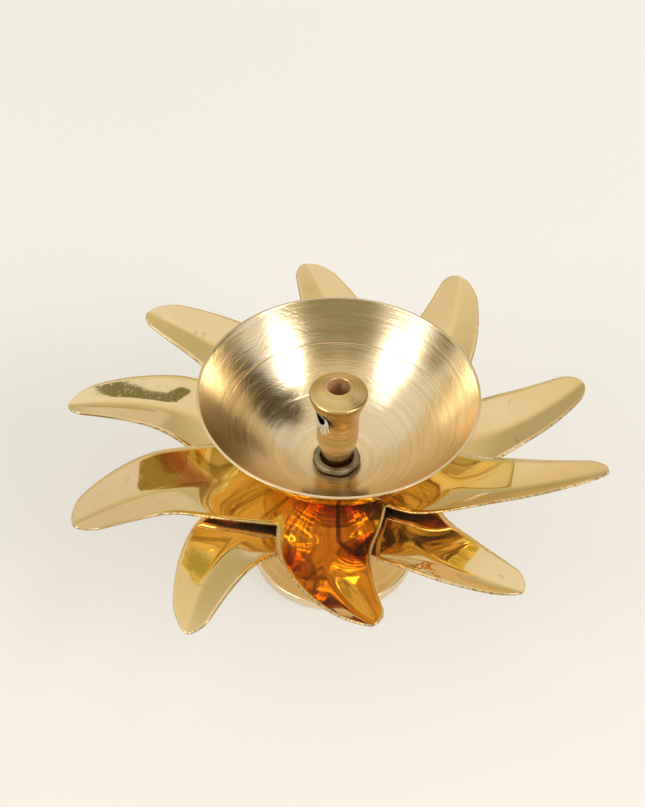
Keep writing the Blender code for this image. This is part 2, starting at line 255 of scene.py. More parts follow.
# Colours of the materials. With stops: places on a noise from 0 to 1, and the colours there
NOISE_RANGE = (0.3, 0.7)
SHEET_STOPS = ((0.3, (0.84, 0.64, 0.34)), (0.7, (0.88, 0.70, 0.41)))
STAIN_COLOUR = (0.42, 0.26, 0.11)
SHEARED_STOPS = ((0.40, (0.40, 0.26, 0.10)), (0.56, (0.84, 0.66, 0.38)))
TURNED_DARK = (0.77, 0.61, 0.38)
TURNED_LIGHT = (0.88, 0.73, 0.51)
PAD_COLOUR = (0.99, 0.94, 0.82)
HOLDER_DARK = (0.60, 0.41, 0.16)
HOLDER_LIGHT = (0.76, 0.55, 0.26)
OIL_COLOUR = (0.66, 0.39, 0.20)
# Near-black painted shade for the inside of the oil inlet and round its mouth
INLET_SHADE_COLOUR = (0.02, 0.017, 0.014)
# Outside of the bowl: gold, and dark red and olive bands that are painted shade, which the petals
# show as reflections
OUTSIDE_SHADE_BANDS = (
    (0.33, (0.38, 0.14, 0.03)),
    (0.41, (0.60, 0.46, 0.07)),
    (0.50, (0.96, 0.68, 0.17)),
    (0.62, (0.98, 0.76, 0.28)),
    (0.70, (0.62, 0.52, 0.10)),
)
BURR_STOPS = ((0.36, (0.12, 0.10, 0.08)), (0.46, (0.95, 0.92, 0.85)))
STEEL_STOPS = ((0.35, (0.22, 0.18, 0.13)), (0.65, (0.46, 0.40, 0.31)))
RUBBER_STOPS = ((0.3, (0.17, 0.065, 0.035)), (0.7, (0.26, 0.11, 0.06)))
FLOOR_STOPS = ((0.3, (0.40, 0.385, 0.355)), (0.7, (0.42, 0.405, 0.375)))
FLOOR_GLOW = (0.97, 0.96, 0.93)
FLOOR_GLOW_STRENGTH = 0.45
FLOOR_HALF_WIDTH = 3.0

# Strength of the painted reflection patches and of the polishing pad's lines, and roughness of the
# painted shade in the oil inlet
REFLECTION_PATCH_STRENGTH = 0.85
PAD_STRENGTH = 0.15
INLET_SHADE_ROUGHNESS = 0.6
# The oil film's edge, out from the wick hole's wall
OIL_EDGE = (0.05 * MM, 0.2 * MM)

# Windows: name, azimuth, elevation, width, height, radiance and roll
WINDOWS = (
    ("window_right", 54, 34, 0.46, 0.48, 5.5, -35),
    ("window_left", -58, 31, 0.62, 0.34, 5.5, 25),
    ("window_high", -66, 46, 0.40, 0.26, 1.6, 25),
)
WINDOW_DISTANCE = 1.3
LIGHT_COLOUR = (1.0, 0.98, 0.94)
KEY_DIRECTION = (0.9, -0.3, 0.60)
KEY_DISTANCE = 1.5
KEY_WIDTH = 0.7
KEY_RADIANCE = 6.5

# Light of the room at the sine of the elevation
ROOM_BY_HEIGHT = (
    (0.0, (0.50, 0.44, 0.27)),
    (0.30, (0.56, 0.51, 0.34)),
    (0.60, (0.72, 0.63, 0.45)),
    (0.80, (0.86, 0.75, 0.56)),
    (0.92, (0.90, 0.85, 0.74)),
    (1.0, (0.93, 0.90, 0.88)),
)
# Patches of the room: azimuth, elevation, inner and outer angle of the soft edge, light
ROOM_PATCHES = (
    (-80, 34, 20, 60, (0.90, 0.86, 0.76)),
    (70, 22, 10, 30, (0.90, 0.88, 0.84)),
    (-14, 26, 10, 20, (0.33, 0.29, 0.17)),
    (14, 26, 10, 20, (0.33, 0.29, 0.17)),
    (176, 10, 6, 14, (0.76, 0.68, 0.56)),
    (122, 40, 8, 20, (0.80, 0.75, 0.72)),
    (98, 25, 11, 22, (0.09, 0.07, 0.035)),
    (88, 46, 9, 18, (0.11, 0.09, 0.045)),
    (-84, 6, 5, 14, (0.24, 0.20, 0.09)),
    (104.4, 79.6, 2.0, 2.4, (0.23, 0.22, 0.11)),
    (97.9, 77.5, 2.2, 2.6, (0.23, 0.22, 0.11)),
    (94.0, 75.5, 2.4, 2.8, (0.23, 0.22, 0.11)),
)


# ---------------------------------------------------------------- meshes


def add_piece(name, bm, material, node, body):
    """Turn a bmesh into a piece that stands for a CAD node and rides on its body."""
    bmesh.ops.recalc_face_normals(bm, faces=bm.faces)
    mesh = bpy.data.meshes.new(name)
    bm.to_mesh(mesh)
    bm.free()
    mesh.shade_smooth()
    mesh.set_sharp_from_angle(angle=SHARP_ANGLE)
    mesh.materials.append(material)
    piece = bpy.data.objects.new(name, mesh)
    bpy.context.scene.collection.objects.link(piece)
    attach(piece, body)
    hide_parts(node)
    return piece


def soften(profile, closed):
    """Round each corner of a profile of (radius, height, reach) with a short curve."""
    points = []
    count = len(profile)
    for i, (radius, height, reach) in enumerate(profile):
        corner = Vector((radius, height))
        if reach == 0 or (not closed and i in (0, count - 1)):
            points.append(corner)
            continue
        before = Vector(profile[i - 1][:2]) - corner
        after = Vector(profile[(i + 1) % count][:2]) - corner
        start = corner + before.normalized() * min(reach, LONGEST_REACH * before.length)
        end = corner + after.normalized() * min(reach, LONGEST_REACH * after.length)
        for k in range(CORNER_POINTS + 1):
            t = k / CORNER_POINTS
            points.append(start * (1 - t) ** 2 + corner * 2 * t * (1 - t) + end * t * t)
    return points


def turned(profile, closed):
    """Spin a profile of (radius, height, reach) round the axis. Open ends lie on the axis."""
    bm = bmesh.new()
    rows = []
    for point in soften(profile, closed):
        if point.x < ON_AXIS:
            rows.append([bm.verts.new((0, 0, point.y))] * STEPS_ROUND)
            continue
        row = []
        for i in range(STEPS_ROUND):
            angle = math.tau * i / STEPS_ROUND
            x, y = point.x * math.cos(angle), point.x * math.sin(angle)
            row.append(bm.verts.new((x, y, point.y)))
        rows.append(row)
    pairs = list(zip(rows, rows[1:]))
    if closed:
        pairs.append((rows[-1], rows[0]))
    for lower, upper in pairs:
        for i in range(STEPS_ROUND):
            j = (i + 1) % STEPS_ROUND
            corners = list(dict.fromkeys((lower[i], lower[j], upper[j], upper[i])))
            if len(corners) > 2:
                bm.faces.new(corners)
    return bm


def turned_piece(name, profile, material, node, body="base", closed=True):
    """A turned piece that stands for a CAD node and rides on its body."""
    return add_piece(name, turned(profile, closed), material, node, body)


def cut(piece, cutter_bm, operation):
    """Cut a piece with a closed mesh, and keep the result."""
    mesh = bpy.data.meshes.new("cutter")
    cutter_bm.to_mesh(mesh)
    cutter_bm.free()
    cutter = bpy.data.objects.new("cutter", mesh)
    bpy.context.scene.collection.objects.link(cutter)
    modifier = piece.modifiers.new("cut", "BOOLEAN")
    modifier.object = cutter
    modifier.operation = operation
    modifier.solver = "EXACT"
    bpy.context.view_layer.update()
    evaluated = piece.evaluated_get(bpy.context.evaluated_depsgraph_get())
    result = bpy.data.meshes.new_from_object(evaluated)
    piece.modifiers.clear()
    piece.data = result
    bpy.data.objects.remove(cutter, do_unlink=True)
    result.set_sharp_from_angle(angle=SHARP_ANGLE)


def smoothstep(value):
    """Ease from 0 to 1 while the value goes from 0 to 1."""
    value = min(max(value, 0.0), 1.0)
    return value * value * (3.0 - 2.0 * value)


def petal_edges(along):
    """Angles in degrees of a petal's middle and of half its width, at 0 (root) to 1 (tip)."""
    convex = -HALF_SECTOR + (CONVEX_TIP_ANGLE + HALF_SECTOR) * along**CONVEX_POWER
    concave = CONCAVE_TIP_ANGLE + (HALF_SECTOR - CONCAVE_TIP_ANGLE) * (1.0 - along) ** CONCAVE_POWER
    return (convex + concave) / 2, (concave - convex) / 2


def petal_point(along, across, root_angle, bend, notches, sheet_top):
    """A point on the upper face of one petal.

    along runs from 0 at the root to 1 at the tip, and across from -1 at the convex edge
    to 1 at the concave edge. notches are the notch radii at the two edges.
    """
    turn, reach, lift, curl, twist = bend
    root_radius = (notches[0] * (1 - across) + notches[1] * (1 + across)) / 2
    radius = root_radius + (PETAL_TIP_RADIUS - root_radius) * along
    middle, half = petal_edges(along)
    past = max(0.0, (radius - PETAL_TIP_RADIUS + TIP_ROUNDING) / TIP_ROUNDING)
    half *= math.sqrt(max(0.0, 1.0 - past * past))
    swept = root_angle + middle + half * across
    angle = math.radians(swept + turn * smoothstep(along / TURN_RAMP))
    offset = radius * math.radians(half) * across
    free = max(0.0, (along - STIFF_ROOT) / (1.0 - STIFF_ROOT))
    crease = CREASE_SLOPE * smoothstep((along - CREASE_START) / CREASE_RAMP)
    height = sheet_top + DISH_SLOPE * (radius - HUB_RADIUS)
    height += lift * MM * free**LIFT_POWER + curl * MM * free**CURL_POWER
    height += crease * (math.hypot(offset, CREASE_SOFTNESS) - CREASE_SOFTNESS)
    height += twist * free * offset
    radius += reach * MM * along
    return Vector((radius * math.cos(angle), radius * math.sin(angle), height))


def ragged(point, across, along):
    """Move a point on a sheared edge in or out a little, as a worn stamping die leaves it."""
    edge = max(0.0, abs(across) * EDGE_FADE - (EDGE_FADE - 1))
    edge *= smoothstep(along * ROOT_FADE)
    edge *= smoothstep((1.0 - along) * TIP_FADE)
    shift = noise.noise(point * FINE_GRAIN) + COARSE_SHARE * noise.noise(point * COARSE_GRAIN)
    return point * (1 - EDGE_RAGGEDNESS * shift * edge / point.length)


def petal_rows():
    """Places of the rows along a petal, closer together round the tip."""
    tip_start = 1.0 - TIP_ROUNDING / (PETAL_TIP_RADIUS - NOTCH_RADIUS)
    places = [i / ROWS_ALONG_PETAL for i in range(1, ROWS_ALONG_PETAL + 1)]
    rows = [tip_start * place**ROW_SPACING_POWER for place in places]
    for i in range(1, ROWS_ROUND_TIP + 1):
        rows.append(tip_start + (1.0 - tip_start) * math.sin(math.pi / 2 * i / ROWS_ROUND_TIP))
    return rows


def hub_rings(bm, outer_ring, sheet_top):
    """Hub with its bolt hole, blended smoothly into the ring of points at the petals' roots."""
    rings = []
    for radius in (CLEARANCE_RADIUS, HUB_RADIUS):
        scales = [radius / math.hypot(point.x, point.y) for point in outer_ring]
        flat = [(p.x * scale, p.y * scale, sheet_top) for p, scale in zip(outer_ring, scales)]
        rings.append([bm.verts.new(point) for point in flat])
    inner = rings[1]
    for part in HUB_BLEND:
        rings.append([bm.verts.new(a.co.lerp(b, part)) for a, b in zip(inner, outer_ring)])
    rings.append([bm.verts.new(point) for point in outer_ring])
    count = len(outer_ring)
    for low, high in zip(rings, rings[1:]):
        for m in range(count):
            n = (m + 1) % count
            bm.faces.new((low[m], high[m], high[n], low[n]))
    return rings[-1]


def petal_faces(bm, root, places, point_at):
    """Rows of faces from a petal's root out to its rounded tip."""
    last = root
    for along in petal_rows()[:-1]:
        row = [bm.verts.new(ragged(point_at(along, place), place, along)) for place in places]
        for j in range(CELLS_ACROSS_PETAL):
            bm.faces.new((last[j], row[j], row[j + 1], last[j + 1]))
        last = row
    tip = bm.verts.new(point_at(1, 0))
    for j in range(CELLS_ACROSS_PETAL):
        bm.faces.new((last[j], tip, last[j + 1]))


def petal_plate(name, node, body, petals, first_angle, face_material, edge_material):
    """One stamped plate of five petals round a hub, with sheared and slightly ragged edges."""
    sheet_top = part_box(node)[0][2] + SHEET_THICKNESS
    places = [2 * j / CELLS_ACROSS_PETAL - 1 for j in range(CELLS_ACROSS_PETAL + 1)]

    def shape(k):
        root_angle = first_angle + 2 * HALF_SECTOR * k
        notches = (petals[k - 1][-1] * MM, petals[k][-1] * MM)
        bend = petals[k][:-1]
        return lambda along, place: petal_point(along, place, root_angle, bend, notches, sheet_top)

    shapes = [shape(k) for k in range(PETALS_PER_PLATE)]
    bm = bmesh.new()
    outer_ring = [point_at(0, place) for point_at in shapes for place in places[:-1]]
    roots = hub_rings(bm, outer_ring, sheet_top)
    for k, point_at in enumerate(shapes):
        start = k * CELLS_ACROSS_PETAL
        root = [roots[(start + j) % len(roots)] for j in range(len(places))]
        petal_faces(bm, root, places, point_at)
    plate = add_piece(name, bm, face_material, node, body)
    plate.data.materials.append(edge_material)
    if sum(face.normal.z for face in plate.data.polygons) < 0:
        plate.data.flip_normals()
    thicken = plate.modifiers.new("thickness", "SOLIDIFY")
    thicken.thickness = SHEET_THICKNESS
    thicken.offset = -1.0
    thicken.material_offset_rim = 1


# ---------------------------------------------------------------- materials


class Surface:
    """A Principled material and short calls to add nodes to it."""

    def __init__(self, name, roughness, metallic):
        self.material = bpy.data.materials.new(name)
        self.material.use_nodes = True
        self.tree = self.material.node_tree
        self.shader = self.tree.nodes["Principled BSDF"]
        self.shader.inputs["Metallic"].default_value = metallic
        self.shader.inputs["Roughness"].default_value = roughness
        self.place = self.add("ShaderNodeTexCoord").outputs["Object"]

    def add(self, kind, **settings):
        node = self.tree.nodes.new(kind)
        for key, value in settings.items():
            setattr(node, key, value)
        return node

    def link(self, source, target):
        self.tree.links.new(source, target)

    def math(self, operation, first, second):
        node = self.add("ShaderNodeMath", operation=operation)
        for socket, value in zip(node.inputs, (first, second)):
            if isinstance(value, (int, float)):
                socket.default_value = value
            else:
                self.link(value, socket)
        return node.outputs[0]

    def noise(self, place, scale, detail=2.0, rough=0.5):
        node = self.add("ShaderNodeTexNoise")
        node.inputs["Scale"].default_value = scale
        node.inputs["Detail"].default_value = detail
        node.inputs["Roughness"].default_value = rough
        self.link(place, node.inputs["Vector"])
        return node.outputs["Fac"]

    def spread(self, value, old, new):
        """Carry a value from an old range to a new one, and hold it to the new one's ends."""
        node = self.add("ShaderNodeMapRange")
        names = ("From Min", "From Max", "To Min", "To Max")
        for name, number in zip(names, (*old, *new)):
            node.inputs[name].default_value = number
        self.link(value, node.inputs["Value"])
        return node.outputs["Result"]

    def colours(self, value, stops):
        node = self.add("ShaderNodeValToRGB")
        ramp = node.color_ramp
        while len(ramp.elements) < len(stops):
            ramp.elements.new(0.5)
        for element, (position, colour) in zip(ramp.elements, stops):
            element.position = position
            element.color = (*colour, 1.0)
        self.link(value, node.inputs["Fac"])
        return node.outputs["Color"]

    def mix(self, factor, first, tone):
        node = self.add("ShaderNodeMix", data_type="RGBA")
        self.link(factor, node.inputs["Factor"])
        self.link(first, node.inputs["A"])
        node.inputs["B"].default_value = (*tone, 1.0)
        return node.outputs["Result"]

    def parts(self, centre=(0.0, 0.0, 0.0)):
        """X, Y and Z from a centre."""
        away = self.add("ShaderNodeVectorMath", operation="SUBTRACT")
        self.link(self.place, away.inputs[0])
        away.inputs[1].default_value = centre
        split = self.add("ShaderNodeSeparateXYZ")
        self.link(away.outputs[0], split.inputs[0])
        return split.outputs

    def radius(self, centre=(0.0, 0.0, 0.0)):
        """Distance from an upright line through a centre, which is the lamp's axis by default."""
        x, y, _ = self.parts(centre)
        total = self.math("ADD", self.math("MULTIPLY", x, x), self.math("MULTIPLY", y, y))
        return self.math("SQRT", total, 0)

    def near(self, centre, inner, outer, ragged_by):
        """1 within the inner distance of a point and 0 beyond the outer one, with a ragged edge."""
        away = self.add("ShaderNodeVectorMath", operation="DISTANCE")
        self.link(self.place, away.inputs[0])
        away.inputs[1].default_value = centre
        wander = self.noise(self.place, scale=900, detail=3, rough=0.6)
        wander = self.spread(wander, NOISE_RANGE, (-ragged_by, ragged_by))
        distance = self.math("ADD", away.outputs["Value"], wander)
        return self.spread(distance, (inner, outer), (1.0, 0.0))

    def arcs(self, centre, per_metre, drift):
        """Coordinates for upright cylinders round a centre, which change slowly along each arc."""
        x, y, _ = self.parts(centre)
        join = self.add("ShaderNodeCombineXYZ")
        self.link(self.math("MULTIPLY", self.radius(centre), per_metre), join.inputs[0])
        self.link(self.math("MULTIPLY", x, drift), join.inputs[1])
        self.link(self.math("MULTIPLY", y, drift), join.inputs[2])
        return join.outputs[0]

    def turning(self, per_metre, drift=40.0):
        """Coordinates that are the same all the way round the axis, but for a slow drift."""
        x, y, z = self.parts()
        join = self.add("ShaderNodeCombineXYZ")
        self.link(self.math("MULTIPLY", self.radius(), per_metre), join.inputs[0])
        self.link(self.math("MULTIPLY", z, per_metre), join.inputs[1])
        self.link(self.math("MULTIPLY", self.math("ADD", x, y), drift), join.inputs[2])
        return join.outputs[0]

    def fanning(self, round_axis, per_metre):
        """Coordinates that change quickly round the axis and slowly along it."""
        flat = self.add("ShaderNodeVectorMath", operation="MULTIPLY")
        flat.inputs[1].default_value = (1.0, 1.0, 0.0)
        self.link(self.place, flat.inputs[0])
        unit = self.add("ShaderNodeVectorMath", operation="NORMALIZE")
        self.link(flat.outputs[0], unit.inputs[0])
        around = self.add("ShaderNodeVectorMath", operation="SCALE")
        around.inputs["Scale"].default_value = round_axis
        self.link(unit.outputs[0], around.inputs[0])
        along = self.add("ShaderNodeVectorMath", operation="SCALE")
        along.inputs["Scale"].default_value = per_metre
        self.link(self.place, along.inputs[0])
        total = self.add("ShaderNodeVectorMath", operation="ADD")
        self.link(around.outputs[0], total.inputs[0])
        self.link(along.outputs[0], total.inputs[1])
        return total.outputs[0]

    def bump(self, height, distance, strength, below=None):
        node = self.add("ShaderNodeBump")
        node.inputs["Distance"].default_value = distance
        node.inputs["Strength"].default_value = strength
        self.link(height, node.inputs["Height"])
        if below is not None:
            self.link(below, node.inputs["Normal"])
        return node.outputs["Normal"]

    def finish(self, colour, rough, normal):
        """Link colour, roughness and normal to the shader, and return the material."""
        self.link(colour, self.shader.inputs["Base Color"])
        self.link(rough, self.shader.inputs["Roughness"])
        self.link(normal, self.shader.inputs["Normal"])
        return self.material


def polished_brass():
    """Mirror-polished sheet: faint waves, small dull specks, and a few brown stains."""
    s = Surface("polished_brass", roughness=0.06, metallic=0.97)
    colour = s.colours(s.noise(s.place, scale=70, detail=3), SHEET_STOPS)
    stains = s.noise(s.place, scale=240, detail=5, rough=0.7)
    colour = s.mix(s.spread(stains, (0.64, 0.72), (0.0, 0.45)), colour, STAIN_COLOUR)
    specks = s.noise(s.place, scale=1500, detail=2, rough=0.7)
    rough = s.spread(specks, (0.58, 0.78), (0.035, 0.28))
    waves = s.noise(s.place, scale=130, detail=1)
    waves = s.bump(waves, distance=0.05 * MM, strength=0.8)
    normal = s.bump(specks, distance=0.002 * MM, strength=0.5, below=waves)
    return s.finish(colour, rough, normal)


def sheared_brass():
    """Sheared edge of the sheet: dull, with the shear's upright marks and tarnish between them."""
    s = Surface("sheared_brass", roughness=0.35, metallic=1.0)
    marks = s.noise(s.fanning(round_axis=180, per_metre=60), scale=1, detail=2, rough=0.6)
    colour = s.colours(marks, SHEARED_STOPS)
    rough = s.spread(marks, NOISE_RANGE, (0.5, 0.25))
    return s.finish(colour, rough, s.bump(marks, distance=0.03 * MM, strength=0.8))


def turned_surface(name, roughness, groove, brushing, dark=TURNED_DARK, light=TURNED_LIGHT):
    """Lathe-turned brass: fine rings, a few deeper ones, and a tint that changes between rings.

    Returns the surface, and its colour, roughness and normal, which are not linked yet.
    """
    s = Surface(name, roughness, metallic=1.0)
    fine = s.noise(s.turning(per_metre=4000, drift=150), scale=1, detail=3, rough=0.7)
    broad = s.noise(s.turning(per_metre=900), scale=1, detail=2)
    deep = s.noise(s.turning(per_metre=1500, drift=60), scale=1, detail=3, rough=0.6)
    deep = s.spread(deep, (0.58, 0.66), (0.0, 1.0))
    colour = s.colours(broad, ((NOISE_RANGE[0], dark), (NOISE_RANGE[1], light)))
    rough = s.spread(fine, NOISE_RANGE, [roughness * swing for swing in ROUGHNESS_SWING])
    s.shader.inputs["Anisotropic"].default_value = brushing
    tangent = s.add("ShaderNodeTangent", direction_type="RADIAL", axis="Z")
    s.link(tangent.outputs[0], s.shader.inputs["Tangent"])
    normal = s.bump(fine, distance=groove, strength=0.8)
    normal = s.bump(deep, distance=groove * DEEP_RATIO, strength=0.5, below=normal)
    normal = s.bump(broad, distance=groove * BROAD_RATIO, strength=0.5, below=normal)
    return s, colour, rough, normal


def turned_brass(name, roughness, groove, brushing):
    """Plain lathe-turned brass."""
    s, colour, rough, normal = turned_surface(name, roughness, groove, brushing)
    return s.finish(colour, rough, normal)


def rubbed_brass():
    """The bowl's inside: turning rings crossed by the fine pale arcs of a polishing pad."""
    s, colour, rough, normal = turned_surface("bowl_brass", 0.18, GROOVE, brushing=0.1)
    for centre in PAD_CENTRES:
        lines = s.arcs(centre, per_metre=3200, drift=90)
        lines = s.noise(lines, scale=1, detail=2, rough=0.6)
        lines = s.spread(lines, (0.56, 0.66), (0.0, 1.0))
        colour = s.mix(s.math("MULTIPLY", lines, PAD_STRENGTH), colour, PAD_COLOUR)
        normal = s.bump(lines, distance=0.007 * MM, strength=0.6, below=normal)
    return s.finish(colour, rough, normal)


def holder_brass_shaded_inlet():
    """The wick holder's turned brass: painted black shade inside the oil inlet and round its mouth,
    oily brown in the wick hole.
    """
    s, colour, rough, normal = turned_surface(
        "holder_brass_shaded_inlet", 0.24, GROOVE, brushing=0.5, dark=HOLDER_DARK, light=HOLDER_LIGHT
    )
    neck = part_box("wick_holder")[0][2] + SPIGOT_LENGTH
    x, y = INLET_SHADE_REACH * math.cos(INLET_SHADE_ANGLE), INLET_SHADE_REACH * math.sin(INLET_SHADE_ANGLE)
    # Painted shade: black over the inlet's inside, where a deep hole is dark, and a ring round its
    # mouth
    inlet_shade = s.near((x, y, neck + INLET_SHADE_HEIGHT), INLET_SHADE_INNER, INLET_SHADE_OUTER, INLET_SHADE_RAGGEDNESS)
    film = [WICK_HOLE_RADIUS + edge for edge in OIL_EDGE]
    oil = s.spread(s.radius(), film, (1.0, 0.0))
    colour = s.mix(oil, colour, OIL_COLOUR)
    s.link(s.spread(oil, (0.0, 1.0), (1.0, 0.4)), s.shader.inputs["Metallic"])
    colour = s.mix(inlet_shade, colour, INLET_SHADE_COLOUR)
    rough = s.math("MAXIMUM", rough, s.math("MULTIPLY", inlet_shade, INLET_SHADE_ROUGHNESS))
    return s.finish(colour, rough, normal)


def buffed_brass_painted_reflections():
    """Buffed outside of the bowl: deeper gold with fanning bands of painted dark red and olive
    shade, and painted dark and pale patches, all of which the petals show as reflections, fine
    turning lines.
    """
    s = Surface("buffed_brass_painted_reflections", roughness=0.05, metallic=1.0)
    # Fanning bands of painted shade, for the petals to reflect
    shade_bands = s.noise(s.fanning(round_axis=7, per_metre=25), scale=1, detail=3, rough=0.6)
    colour = s.colours(shade_bands, OUTSIDE_SHADE_BANDS)
    # Painted dark patches and one painted pale spot, which the petals show as reflections
    for centre, inner, outer, tone in PAINTED_REFLECTION_PATCHES:
        reflection_patch = s.near([x * MM for x in centre], inner * MM, outer * MM, REFLECTION_PATCH_RAGGEDNESS)
        colour = s.mix(s.math("MULTIPLY", reflection_patch, REFLECTION_PATCH_STRENGTH), colour, tone)
    fine = s.noise(s.turning(per_metre=9000), scale=1, detail=3, rough=0.7)
    rough = s.spread(fine, NOISE_RANGE, (0.035, 0.07))
    rings = s.bump(fine, distance=0.0006 * MM, strength=0.8)
    waves = s.noise(s.fanning(round_axis=14, per_metre=60), scale=1, detail=1)
    normal = s.bump(waves, distance=0.05 * MM, strength=0.6, below=rings)
    return s.finish(colour, rough, normal)


def torn_metal():
    """Bright torn metal of the burr, with dark grime in its folds."""
    s = Surface("torn_metal", roughness=0.3, metallic=0.6)
    grime = s.noise(s.place, scale=2200, detail=3, rough=0.6)
    colour = s.colours(grime, BURR_STOPS)
    rough = s.spread(grime, NOISE_RANGE, (0.5, 0.2))
    return s.finish(colour, rough, s.bump(grime, distance=0.05 * MM, strength=0.8))


def aged_steel():
    """Dull steel darkened by oil, with turning rings."""
    s = Surface("aged_steel", roughness=0.4, metallic=1.0)
    grime = s.noise(s.place, scale=420, detail=4, rough=0.6)
    colour = s.colours(grime, STEEL_STOPS)
    rough = s.spread(grime, NOISE_RANGE, (0.28, 0.55))
    rings = s.noise(s.turning(per_metre=6000), scale=1, detail=2)
    return s.finish(colour, rough, s.bump(rings, distance=0.01 * MM, strength=0.8))


def rubber():
    """Matt brown-red rubber with a fine moulded grain."""
    s = Surface("rubber", roughness=0.8, metallic=0.0)
    grain = s.noise(s.place, scale=2500, detail=3)
    colour = s.colours(grain, RUBBER_STOPS)
    rough = s.spread(grain, NOISE_RANGE, (0.7, 0.9))
    return s.finish(colour, rough, s.bump(grain, distance=0.02 * MM, strength=0.7))


def floor_material():
    """Plain pale cream surface that glows a little, so that it stays pale."""
    s = Surface("floor_cream", roughness=0.85, metallic=0.0)
    colour = s.colours(s.noise(s.place, scale=3, detail=2), FLOOR_STOPS)
    s.link(colour, s.shader.inputs["Base Color"])
    s.shader.inputs["Emission Color"].default_value = (*FLOOR_GLOW, 1.0)
    s.shader.inputs["Emission Strength"].default_value = FLOOR_GLOW_STRENGTH
    s.shader.inputs["Specular IOR Level"].default_value = 0.1
    return s.material


# ---------------------------------------------------------------- pieces


def bowl_profile():
    """Closed profile of the bowl, from the hole up the inside to a rounded rim and back down."""
    low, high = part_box("oil_bowl")
    floor, depth = low[2] + BOWL_WALL, high[2] - low[2] - BOWL_WALL
    run = RIM_RADIUS - BOWL_WALL - BOWL_SEAT_RADIUS
    inside, outside = [(CLEARANCE_RADIUS, floor, 0)], []
    for i in range(BOWL_POINTS + 1):
        part = i / BOWL_POINTS
        radius, height = BOWL_SEAT_RADIUS + run * part, floor + depth * part * part
        slope = 2 * depth * part / run
        normal = math.hypot(1, slope)
        if abs(radius - SCRIBED_RING_RADIUS) < run / BOWL_POINTS / 2:
            for shift in SCRIBED_RING_POINTS:
                step = shift * SCRIBED_RING_HALF_WIDTH
                sunk = SCRIBED_RING_DEPTH if shift == 0.0 else 0.0
                inside.append((radius + step + sunk, height + step * slope - sunk, 0))
        else:
            inside.append((radius, height, 0))
        outside.append((radius + BOWL_WALL * slope / normal, height - BOWL_WALL / normal, 0))
    inside[-1] = (*inside[-1][:2], RIM_INNER_ROUNDING)
    outside[-1] = (RIM_RADIUS, outside[-1][1] + RIM_RISE, RIM_OUTER_ROUNDING)
    return inside + outside[::-1] + [(CLEARANCE_RADIUS, low[2], 0)]


def buff_underside(bowl, material):
    """Give the bowl's outside a buffed finish. The inside keeps its turned and rubbed one."""
    bowl.data.materials.append(material)
    for face in bowl.data.polygons:
        if face.normal.z < OUTSIDE_NORMAL:
            face.material_index = 1


def thread_points(start, turns, lower_radius, upper_radius):
    """Points of a thread in profile: each turn goes from one radius to the other."""
    points = []
    for i in range(turns):
        height = start + i * THREAD_PITCH
        points.append((lower_radius, height, THREAD_ROUNDING))
        points.append((upper_radius, height + THREAD_PITCH / 2, THREAD_ROUNDING))
    return points


def foot_profile():
    """Foot: upright lip, shallow cone and raised hub, hollow beneath."""
    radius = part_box("foot")[1][0]
    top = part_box("foot")[1][2]
    return [
        (CLEARANCE_RADIUS, top, 0.1 * MM),
        (CLEARANCE_RADIUS, 4.4 * MM, 0.1 * MM),
        (7.6 * MM, 4.2 * MM, 1.5 * MM),
        (13.6 * MM, 2.0 * MM, 1.0 * MM),
        (15.1 * MM, 0.8 * MM, 0.4 * MM),
        (15.4 * MM, 0.0, 0.1 * MM),
        (radius - 0.4 * MM, 0.0, 0.15 * MM),
        (radius, 0.4 * MM, 0.3 * MM),
        (radius, 2.1 * MM, 0.2 * MM),
        (radius - 0.15 * MM, 2.45 * MM, 0.15 * MM),
        (radius - 0.5 * MM, 2.6 * MM, 0.15 * MM),
        (13.0 * MM, 4.1 * MM, 2.5 * MM),
        (9.6 * MM, 5.4 * MM, 1.0 * MM),
        (8.7 * MM, 6.2 * MM, 0.6 * MM),
        (8.3 * MM, 7.3 * MM, 0.4 * MM),
        (7.8 * MM, top, 0.2 * MM),
    ]


def stem_profile():
    """Waisted stem with a bore from end to end."""
    bottom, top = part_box("stem")[0][2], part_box("stem")[1][2]
    return [
        (CLEARANCE_RADIUS, top, 0.1 * MM),
        (CLEARANCE_RADIUS, bottom, 0.1 * MM),
        (7.2 * MM, bottom, 0.2 * MM),
        (7.4 * MM, bottom + 0.8 * MM, 0.5 * MM),
        (6.4 * MM, bottom + 1.8 * MM, 0.8 * MM),
        (5.4 * MM, bottom + 4.0 * MM, 2.0 * MM),
        (5.0 * MM, bottom + 8.0 * MM, 2.0 * MM),
        (5.2 * MM, bottom + 12.0 * MM, 2.0 * MM),
        (6.2 * MM, bottom + 15.2 * MM, 1.5 * MM),
        (7.6 * MM, bottom + 16.6 * MM, 0.6 * MM),
        (7.8 * MM, bottom + 17.4 * MM, 0.2 * MM),
        (7.5 * MM, top, 0.1 * MM),
    ]


